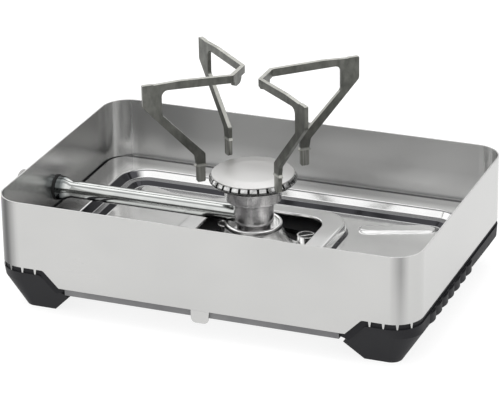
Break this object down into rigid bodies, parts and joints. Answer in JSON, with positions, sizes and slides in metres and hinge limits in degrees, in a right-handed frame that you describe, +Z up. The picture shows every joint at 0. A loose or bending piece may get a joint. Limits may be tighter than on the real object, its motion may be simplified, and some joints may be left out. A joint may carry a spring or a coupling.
{
  "type": "table-top camping stove",
  "caption": "Open rectangular steel stove with a drip tray, a round tube-fed burner, a side fuel valve and two lift-off pot supports.",
  "frame": {"origin": "on the burner's vertical axis, in the middle of the box, at the surface that the foot pads stand on", "axes": "+Z up, +X along the box's length to the right, -Y the front; the fuel valve is at -X"},
  "size_m": [0.4406, 0.2706, 0.2091],
  "materials": {
    "wall_steel": "satin stainless sheet",
    "tray_steel": "polished stainless sheet",
    "pan_paint": "dark grey heat-resistant paint",
    "chrome": "polished",
    "machined_steel": "turned, darkened by heat",
    "ring_iron": "machined",
    "cap_steel": "satin",
    "support_enamel": "satin dark grey enamel",
    "black_plastic": "fine moulded texture",
    "rubber": "matt",
    "brass": "machined",
    "knob_metal": "turned",
    "screw_steel": "zinc plated"
  },
  "bodies": {
    "root": {"outer_wall": "wall_steel", "front_catch": "wall_steel", "bottom_pan": "pan_paint", "drip_tray": "tray_steel", "burner_base_cone": "chrome", "cone_screws": "screw_steel", "support_sockets": "chrome", "burner_column": "machined_steel", "column_nut": "screw_steel", "burner_cup": "machined_steel", "flame_ring": "ring_iron", "mixing_tube": "chrome", "tube_gasket": "rubber", "injector_holder": "screw_steel", "injector_jet": "brass", "valve_body": "brass", "packing_nut": "brass", "inlet_stub": "brass", "end_piece_left": "black_plastic", "end_piece_right": "black_plastic", "end_piece_screws": "screw_steel", "foot_pads": "rubber"},
    "valve_control": {"valve_spindle": "screw_steel", "control_knob": "knob_metal", "knob_screw": "screw_steel"},
    "burner_cap": {"burner_cap": "cap_steel"},
    "support_left": {"pot_support_left": "support_enamel"},
    "support_right": {"pot_support_right": "support_enamel"}
  },
  "joints": [
    {"name": "knob_turn", "type": "hinge", "parent": "root", "child": "valve_control", "pos_m": [-0.2292, 0, 0.0667], "axis": [1, 0, 0], "range_deg": [0, 270]},
    {"name": "cap_lift", "type": "slide", "parent": "root", "child": "burner_cap", "axis": [0, 0, 1], "range_m": [0, 0.03]},
    {"name": "support_left_lift", "type": "slide", "parent": "root", "child": "support_left", "axis": [0, 0, 1], "range_m": [-0.0837, 0.015]},
    {"name": "support_right_lift", "type": "slide", "parent": "root", "child": "support_right", "axis": [0, 0, 1], "range_m": [-0.0837, 0.015]}
  ]
}
